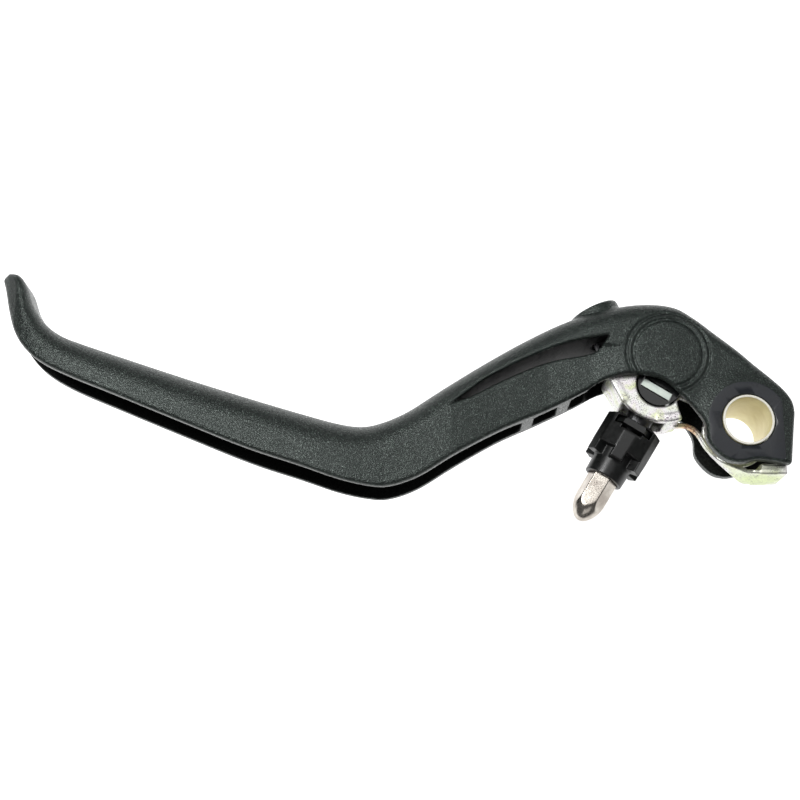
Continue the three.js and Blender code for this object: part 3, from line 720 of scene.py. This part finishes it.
def in_shaded_hollow(x, y, z):
    """True on the walls of the pockets, of the rocker's room and of the slot, which get the painted shade.
    """
    hollows = [
        (FINGER_POCKET, by_x(FINGER_POCKET_HALVES, x)), (WAIST_POCKET, WAIST_POCKET_HALF),
        (END_POCKET, END_POCKET_HALF), (ROCKER_ROOM, CAVITY_HALF),
        (slot_outline(), blade_side(x, y) - SLOT_TEXTURED),
    ]
    found = np.zeros(x.shape, bool)
    for outline, half in hollows:
        found |= (area_field(outline, x, y) < WALL_MARGIN) & (np.abs(z) < half + WALL_MARGIN)
    return found


def lever_blade():
    step = 0.25
    low, high = (-132.6, -12.6, -7.8), (9.2, 30.2, 7.8)
    axes = grid(low, high, step)
    vertices, faces = surface(blade_field(*axes), low, step)

    def at_ear_face(points, depth):
        near = ear_face_field(*points.T[:2]) < FACE_MARGIN
        return (np.abs(points[:, 2]) > EAR_HALF - depth) & near

    on_face = at_ear_face(vertices, FACE_SNAP)
    vertices[on_face, 2] = np.sign(vertices[on_face, 2]) * EAR_HALF
    centres = vertices[faces].mean(axis=1)
    kinds = np.where(at_ear_face(centres, FACE_DEPTH), MACHINED_INDEX, COAT_INDEX)
    # Faces on the walls of the hollows get the darker painted shade material.
    kinds = np.where(in_shaded_hollow(*centres.T), HOLLOW_SHADE_INDEX, kinds)
    lips = [lip(1), lip(-1)]
    piece = mesh_object("blade_shell", *joined((vertices, faces), *lips))
    # The lip's faces take the painted highlight material.
    lip_highlight_faces = [LIP_HIGHLIGHT_INDEX] * sum(len(polygons) for _, polygons in lips)
    piece.data.polygons.foreach_set("material_index", kinds.tolist() + lip_highlight_faces)
    thin = piece.modifiers.new("fewer faces", "DECIMATE")
    thin.ratio = BLADE_FACES_KEPT
    return finish_piece(piece, "blade", "lever_blade", "black_coat", COAT, MACHINED, LIP_HIGHLIGHT, HOLLOW_SHADE)


# ---- turned pieces -------------------------------------------------------------------------------
def turned(name, profile, segments=96, matrix=None):
    """A closed ring round local Z from a closed profile of (radius, height) points."""
    angles = np.linspace(0, 2 * math.pi, segments, endpoint=False)
    profile = np.asarray(profile, float)
    n = len(profile)
    vertices = np.stack([
        np.outer(np.cos(angles), profile[:, 0]).ravel(),
        np.outer(np.sin(angles), profile[:, 0]).ravel(),
        np.tile(profile[:, 1], segments),
    ], axis=1)
    i, j = np.meshgrid(np.arange(segments), np.arange(n), indexing="ij")
    i2, j2 = (i + 1) % segments, (j + 1) % n
    faces = np.stack([i * n + j, i2 * n + j, i2 * n + j2, i * n + j2], axis=-1).reshape(-1, 4)
    return mesh_object(name, vertices, faces, matrix)


def rounded_profile(corners, radius, steps=4):
    """The corners of a profile with each one rounded."""
    corners = [np.array(corner, float) for corner in corners]
    out = []
    for before, corner, after in zip(corners[-1:] + corners[:-1], corners, corners[1:] + corners[:1]):
        a = corner + (before - corner) / np.linalg.norm(before - corner) * radius
        b = corner + (after - corner) / np.linalg.norm(after - corner) * radius
        for t in np.linspace(0, 1, steps):
            out.append((1 - t) ** 2 * a + 2 * t * (1 - t) * corner + t**2 * b)
    return out


def pivot_bush():
    outside = BUSH_RADIUS - 0.08  # clear of the ears' bore
    corners = [
        (PIN_RADIUS, -BUSH_HALF), (outside, -BUSH_HALF), (outside, BUSH_HALF), (PIN_RADIUS, BUSH_HALF),
    ]
    piece = turned("bush", rounded_profile(corners, 0.14))
    return finish_piece(piece, "blade", "pivot_bush", "cream_polymer", CREAM)


# ---- rocker --------------------------------------------------------------------------------------
CRADLE_CENTRE = (-14.0, 8.8)
CRADLE_RADIUS = 8.4
ARC_START, ARC_END = -69, -147  # degrees, along the flanges' lower edge
WEB_END, NOTCHED_WEB_END = -87, -99
TAB_START = 12.0
TAB_ACROSS = (-3.2, 2.0)
PIVOT_EYE_INNER = 4.62
PIVOT_EYE_OUTER = 6.0
NECK_NOTCH_HALF = 2.9
FOOT_SHEET = 0.75
NECK_LINE = [
    (-11.6, 0.6), (-10.3, 0.75), (-8.8, 0.4), (-7.4, -0.85), (-5.9, -3.4), (-3.8, -5.7), (-1.1, -7.5),
    (0.6, -8.4), (4.5, -8.55),
]
NECK_HALVES = [(-4.5, 0.75), (-3.5, 1.2), (-0.5, 3.2), (1.0, ROCKER_HALF)]
FOOT_FOLD = [(2.2, -7.1), (6.7, -7.1), (6.7, -8.95), (2.2, -8.95)]
SHEET_EDGE = 0.16  # radius of the sheet's edges
PIVOT_EYE_BLEND = 0.6
FOLD_BLEND = 0.4


def on_cradle(radius, degrees):
    angle = math.radians(degrees)
    return (CRADLE_CENTRE[0] + radius * math.cos(angle), CRADLE_CENTRE[1] + radius * math.sin(angle))


def in_screw_frame(across, along):
    point = SCREW_FRAME @ Vector((across, 0, along))
    return (point.x, point.y)


def cradle_band(start, end):
    """The lower web between two angles of the cradle's arc."""
    angles = np.linspace(start, end, 9)
    outer = [on_cradle(CRADLE_RADIUS, a) for a in angles]
    return outer + [on_cradle(CRADLE_RADIUS - SHEET, a) for a in angles[::-1]]


def rocker_field(x, y, z):
    """The rocker's two flanges with their eyes, the webs and the tab between them, neck and foot."""
    flat_x, flat_y = x[:, :, 0], y[:, :, 0]

    def plate(outline, gap=-1.0):
        """Sheet right across the rocker, or only beyond half a gap in its middle."""
        area = area_field(outline, flat_x, flat_y)[:, :, None]
        return meet(area, np.maximum(np.abs(z) - ROCKER_HALF, gap - np.abs(z)), SHEET_EDGE)

    arc = [on_cradle(CRADLE_RADIUS, a) for a in np.linspace(ARC_START, ARC_END, 14)]
    tab_corners = [in_screw_frame(across, TAB_START) for across in TAB_ACROSS]
    flange = arc + [
        (-22.5, 6.8), (-23.5, 8.6), *tab_corners,
        (-15.8, 13.0), (-13.0, 13.2), (-9.0, 11.2), (-2.8, 5.3), (-5.4, 2.6), (-7.4, 5.6), (-9.6, 6.6),
        (-11.2, 5.6), (-11.6, 4.0),
    ]
    flat = area_field(flange, flat_x, flat_y)
    from_pivot = np.hypot(flat_x, flat_y)
    flat = smooth_min(flat, from_pivot - PIVOT_EYE_OUTER, PIVOT_EYE_BLEND)
    eye = np.hypot(flat_x - TRUNNION[0], flat_y - TRUNNION[1]) - EYE_RADIUS
    flat = np.maximum(np.maximum(flat, PIVOT_EYE_INNER - from_pivot), -eye)
    thickness = np.maximum(np.abs(z) - ROCKER_HALF, ROCKER_HALF - SHEET - np.abs(z))
    flanges = meet(flat[:, :, None], thickness, SHEET_EDGE)
    tab = [
        *tab_corners,
        in_screw_frame(TAB_ACROSS[1], TAB_START + SHEET), in_screw_frame(-2.6, TAB_START + SHEET),
        (-21.3, 6.9), (-20.1, 4.4), (-21.2, 4.0), (-22.5, 6.8), (-23.5, 8.6),
    ]
    sheet_line = spline(NECK_LINE, 8)
    neck_half = by_x(NECK_HALVES, flat_x)[:, :, None]
    strip = distance_to(sheet_line, flat_x, flat_y) - FOOT_SHEET / 2
    neck = meet(strip[:, :, None], np.abs(z) - neck_half, SHEET_EDGE)
    whole = flanges
    for part in (
        plate(cradle_band(ARC_START, WEB_END)),
        plate(cradle_band(ARC_START, NOTCHED_WEB_END), NECK_NOTCH_HALF),
        plate(tab),
        neck,
        plate(FOOT_FOLD),
    ):
        whole = smooth_min(whole, part, FOLD_BLEND)
    return whole


def rocker():
    step = 0.2
    low, high = (-24.6, -9.2, -4.8), (7.4, 14.2, 4.8)
    vertices, faces = surface(rocker_field(*grid(low, high, step)), low, step)
    piece = mesh_object("rocker_plate", vertices, faces)
    return finish_piece(piece, "rocker", "rocker", "zinc_plate", ZINC)


# ---- knob and pushrod, in the rod's own frame ----------------------------------------------------
# Lengths along the rod run from the trunnion's axis.
ROD_FLAT_ANGLE = 38.0
ROD_START = 13.2
ROD_START_EDGE = 0.3
ROD_END_EDGE = 0.1
ROD_END_CLOSED_AT = 12.0  # the turned end's outline is closed here, before the rod starts
KNOB_TOP = 7.65
HUB_RADIUS, HUB_END = 4.6, 9.0
PANEL_TOP = 8.0
RIB_TOP = 10.2
PANEL_END = 13.8
RIB_END = 15.7
SKIRT_START, SKIRT_END = 12.0, 18.8
SKIRT_TAPER = 0.04
PANEL_HALF_ANGLE, RIB_HALF_ANGLE = 18.0, 12.0  # degrees
NECK_OUTER = 2.45
KNOB_CLEARANCE = 0.3  # round the neck and the clip
SOCKET_FLATS = HEX + 0.3
BORE_END, SOCKET_START = 11, 10.8
CLIP_FROM, CLIP_TO = 8.55, 9.35
CLIP_ROOM_HALF, CLIP_ROOM_FLOOR, CLIP_ROOM_TOP = 3.4, 3.3, 5.6
CLIP_SHOULDER_HALF, CLIP_SHOULDER_SLOPE = 2.2, 1.3
WINDOW_HALF, WINDOW_FLOOR, WINDOW_END = 1.95, 3.2, 10.5


def hexagon(x, y, across_flats, turn=0.0):
    """Distance field of a hexagonal prism; turn is the direction of one flat in degrees."""
    faces = [
        x * math.cos(math.radians(turn + 60 * k)) + y * math.sin(math.radians(turn + 60 * k))
        for k in range(6)
    ]
    return np.maximum.reduce(np.broadcast_arrays(*faces)) - across_flats / 2


def turned_end(radial, s, profile):
    """Signed distance to a solid turned from an open profile that ends on the axis."""
    line = spline(profile, 6)
    start = np.array([[line[0, 0], ROD_END_CLOSED_AT]])
    outline = np.vstack([start, line, [[0.0, ROD_END_CLOSED_AT]]])
    outer = np.vstack([start, line])
    away = distance_to(outer, radial, s)
    return np.where(within(outline, radial, s), -away, away)


def pushrod():
    step = 0.09
    low, high = (-3.2, -3.2, 12.9), (3.2, 3.2, 27.9)
    x, y, s = grid(low, high, step)
    radial = np.hypot(x, y)
    shaft = meet(hexagon(x, y, HEX, ROD_FLAT_ANGLE) + 0 * s, ROD_START - s, ROD_START_EDGE)
    body = meet(shaft, turned_end(np.maximum(radial, 0.001), s, ROD_END), ROD_END_EDGE)
    vertices, faces = surface(body, low, step)
    piece = mesh_object("hex_rod", vertices, faces, ROD_FRAME)
    return finish_piece(piece, "pushrod", "pushrod", "bright_steel", ROD_STEEL)


def adjuster_knob():
    step = 0.1
    low, high = (-5.8, -5.8, 7.35), (5.8, 5.8, 19.1)
    x, y, s = grid(low, high, step)
    radial = np.hypot(x, y)
    panel_flat, rib_flat = (
        KNOB_RADIUS * math.cos(math.radians(a)) for a in (PANEL_HALF_ANGLE, RIB_HALF_ANGLE)
    )
    panels = hexagon(x, y, 2 * panel_flat, 0.0)
    ribs = hexagon(x, y, 2 * rib_flat, 30.0)
    outer = meet(panels, ribs, 0.12) + 0 * s
    top = meet(outer, np.maximum(PANEL_TOP - s, s - PANEL_END), 0.15)
    hub = meet(radial - HUB_RADIUS, np.maximum(KNOB_TOP - s, s - HUB_END), 0.1)
    half_rib = KNOB_RADIUS * math.sin(math.radians(RIB_HALF_ANGLE))
    bars = np.full(np.broadcast(x, y).shape, 1e9)
    for k in range(3):
        angle = math.radians(30 + 60 * k)
        bars = np.minimum(bars, np.abs(y * math.cos(angle) - x * math.sin(angle)) - half_rib)
    lower = meet(meet(bars, outer, 0.1), np.maximum(RIB_TOP - s, s - RIB_END), 0.15)
    taper = SKIRT_TAPER * (s - PANEL_END)
    skirt_ends = np.maximum(SKIRT_START - s, s - SKIRT_END)
    skirt = meet(radial - SKIRT_RADIUS - 0.1 + taper, skirt_ends, 0.15)
    body = smooth_min(np.minimum(np.minimum(top, hub), lower), skirt, 0.15)
    window = np.maximum(np.maximum(np.abs(x) - WINDOW_HALF, WINDOW_FLOOR - y), s - WINDOW_END)
    slanted = y + np.maximum(np.abs(x) - CLIP_SHOULDER_HALF, 0) * CLIP_SHOULDER_SLOPE - CLIP_ROOM_TOP
    beside = np.maximum(np.abs(x) - CLIP_ROOM_HALF, np.maximum(-CLIP_ROOM_FLOOR - y, slanted))
    levels = np.maximum(CLIP_FROM - KNOB_CLEARANCE - s, s - CLIP_TO - KNOB_CLEARANCE)
    room = np.maximum(beside, levels)
    bore = np.maximum(radial - NECK_OUTER - KNOB_CLEARANCE, s - BORE_END)
    socket = hexagon(x, y, SOCKET_FLATS, ROD_FLAT_ANGLE) + 0 * s
    cuts = (window, 0.12), (room, 0.1), (bore, 0.15), (np.maximum(socket, SOCKET_START - s), 0.12)
    for hole, radius in cuts:
        body = cut(body, hole, radius)
    vertices, faces = surface(body, low, step)
    piece = mesh_object("knob_shell", vertices, faces, ROD_FRAME)
    return finish_piece(piece, "knob", "adjuster_knob", "satin_black", SATIN)


# ---- small CAD pieces keep their shape and get a finish -------------------------------------------
def dress(node, material):
    """Puts one material on a CAD piece that stays as packed."""
    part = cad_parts[node]
    part.data.materials.clear()
    part.data.materials.append(material)


camera()
studio()
lever_blade()
pivot_bush()
rocker()
pushrod()
adjuster_knob()
for node, material in (
    ("trunnion", GLOSS), ("trunnion_nut", PLAIN_ZINC), ("neck_sleeve", DARK_STEEL), ("knob_clip", SATIN),
    ("rod_oring", RUBBER), ("reach_lock_ring", NYLON), ("reach_pad", NYLON), ("reach_screw", DARK_STEEL),
):
    dress(node, material)
